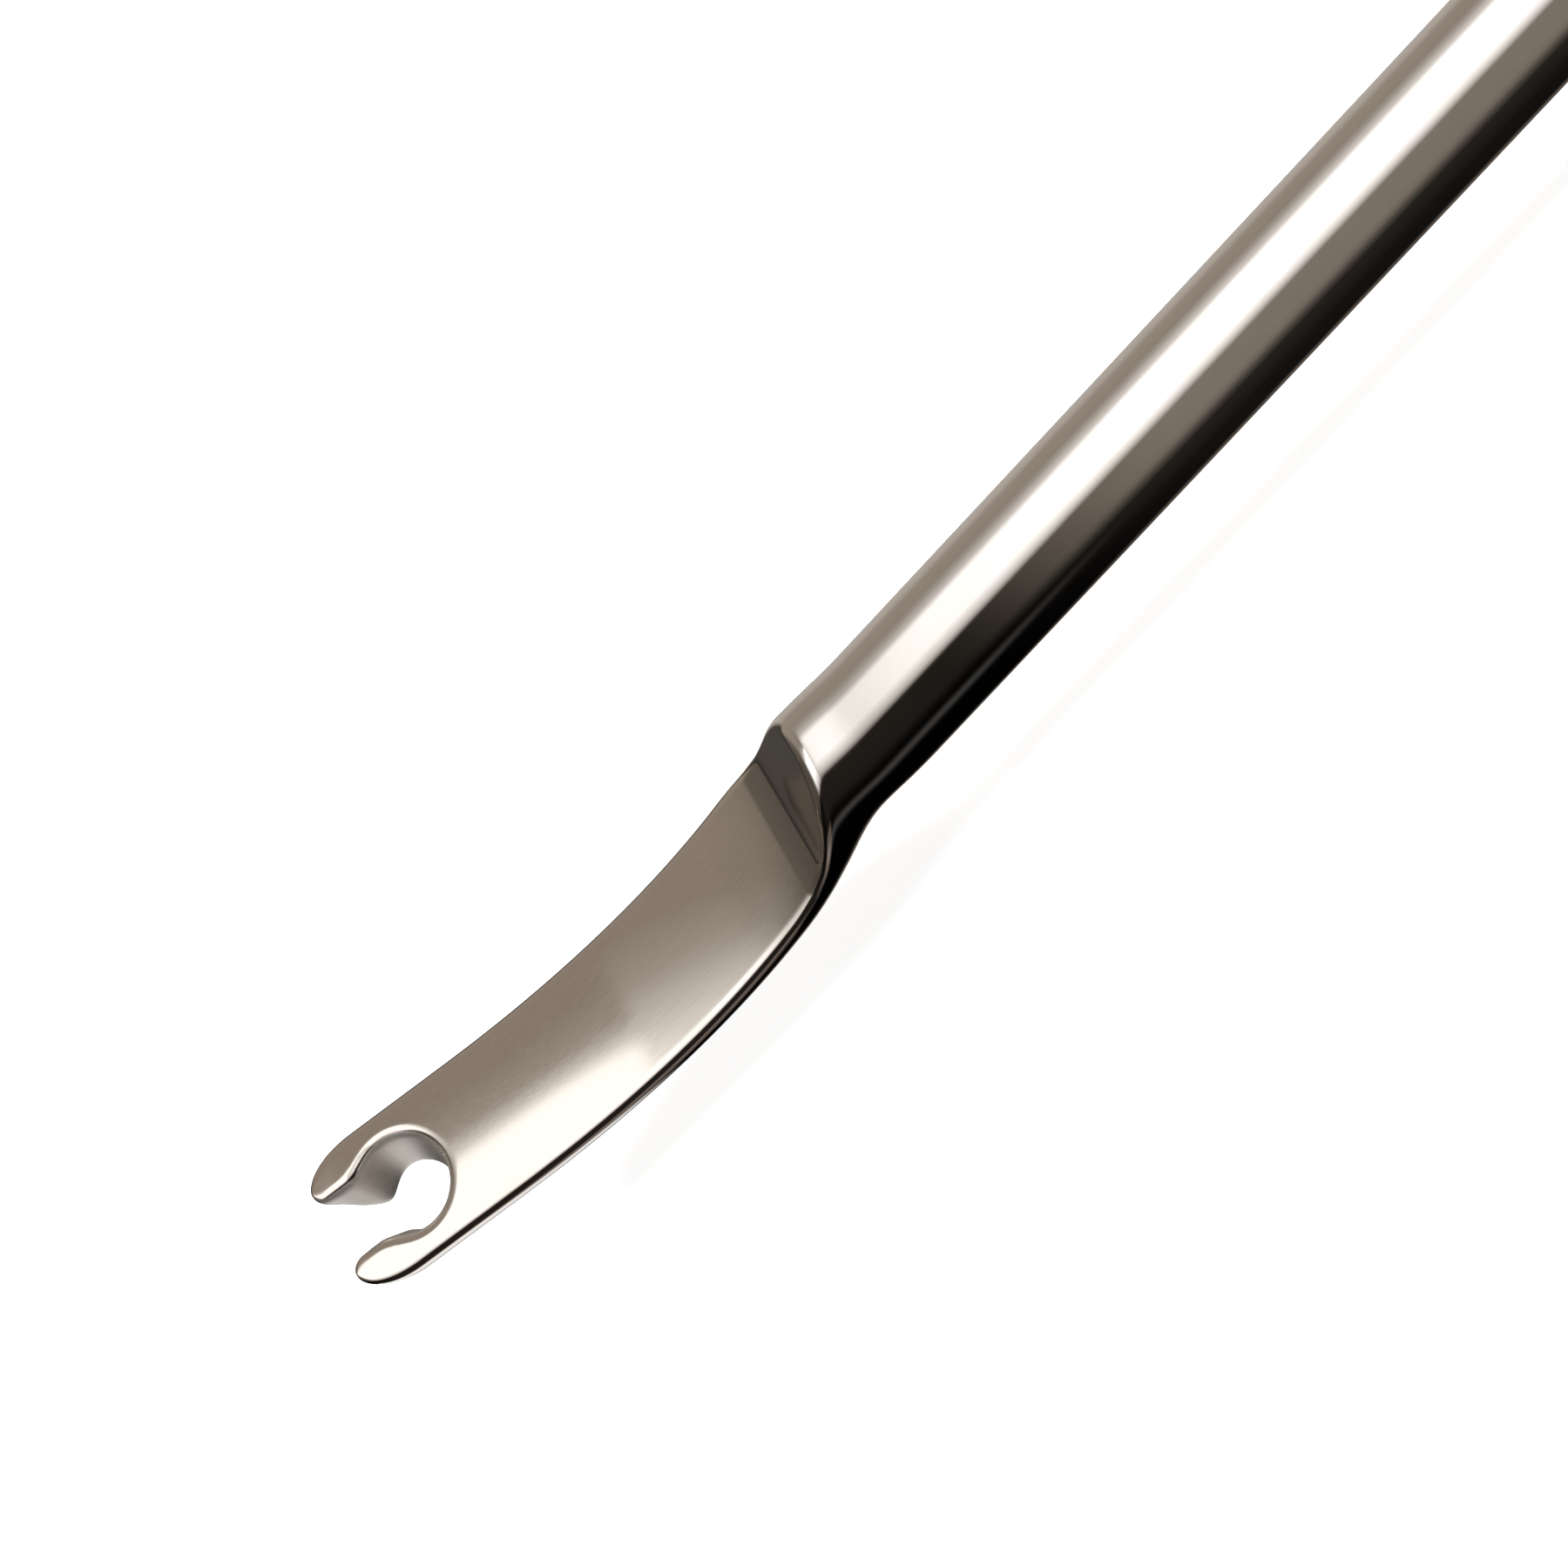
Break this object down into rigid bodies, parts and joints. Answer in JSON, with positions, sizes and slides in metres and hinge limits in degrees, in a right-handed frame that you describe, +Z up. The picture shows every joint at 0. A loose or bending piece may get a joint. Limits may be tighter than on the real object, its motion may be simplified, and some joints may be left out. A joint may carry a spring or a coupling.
{
  "type": "spudger tool",
  "caption": "Slim metal spudger: a polished round rod with a scooped, key-holed fork end, clamped by a collet and knurled nut in a hex-collared barrel handle.",
  "frame": {"origin": "middle of the tool's length and width, on the plane of the hex flats that it rests on", "axes": "+X along the tool towards the fork, +Z up out of the hollow face, +Y to the left when looking along +X"},
  "size_m": [0.1674, 0.0128, 0.011],
  "materials": {
    "polished_stainless": "mirror-polished stainless steel, bare, with a satin ground face on the tongue",
    "turned_stainless": "turned stainless steel with fine lathe lines",
    "hardened_steel": "ground hardened steel",
    "brass": "turned brass",
    "anodised_aluminium": "black anodised, bead blasted",
    "nitrile_rubber": "moulded nitrile",
    "silicone_rubber": "matt moulded silicone",
    "black_oxide_steel": "black oxide"
  },
  "bodies": {
    "handle": {"barrel": "anodised_aluminium", "nut_o_ring": "nitrile_rubber", "grip_ring_1": "silicone_rubber", "grip_ring_2": "silicone_rubber", "grip_ring_3": "silicone_rubber", "grip_ring_4": "silicone_rubber", "grip_ring_5": "silicone_rubber", "grip_ring_6": "silicone_rubber"},
    "thrust_ring": {"thrust_ring": "hardened_steel"},
    "nut": {"chuck_nut": "turned_stainless"},
    "collet": {"collet": "brass"},
    "blade": {"fork_blade": "polished_stainless"},
    "stop": {"stop_screw": "black_oxide_steel"},
    "plug": {"end_plug": "turned_stainless", "plug_o_ring": "nitrile_rubber"}
  },
  "joints": [
    {"name": "nut_travel", "type": "slide", "parent": "handle", "child": "thrust_ring", "axis": [1, 0, 0], "range_m": [0, 0.00225]},
    {"name": "nut_turn", "type": "hinge", "parent": "thrust_ring", "child": "nut", "pos_m": [0, 0, 0.0055], "axis": [1, 0, 0], "range_deg": [0, 1081]},
    {"name": "collet_turn", "type": "hinge", "parent": "handle", "child": "collet", "pos_m": [0, 0, 0.0055], "axis": [1, 0, 0], "continuous": true},
    {"name": "blade_slide", "type": "slide", "parent": "collet", "child": "blade", "axis": [1, 0, 0], "range_m": [0, 0.015]},
    {"name": "stop_travel", "type": "slide", "parent": "handle", "child": "stop", "axis": [-1, 0, 0], "range_m": [0, 0.03]},
    {"name": "plug_pull", "type": "slide", "parent": "handle", "child": "plug", "axis": [-1, 0, 0], "range_m": [0, 0.01]}
  ],
  "couplings": [
    {"joint": "nut_turn", "follows": "nut_travel", "rad_per_m": 8377.6}
  ]
}
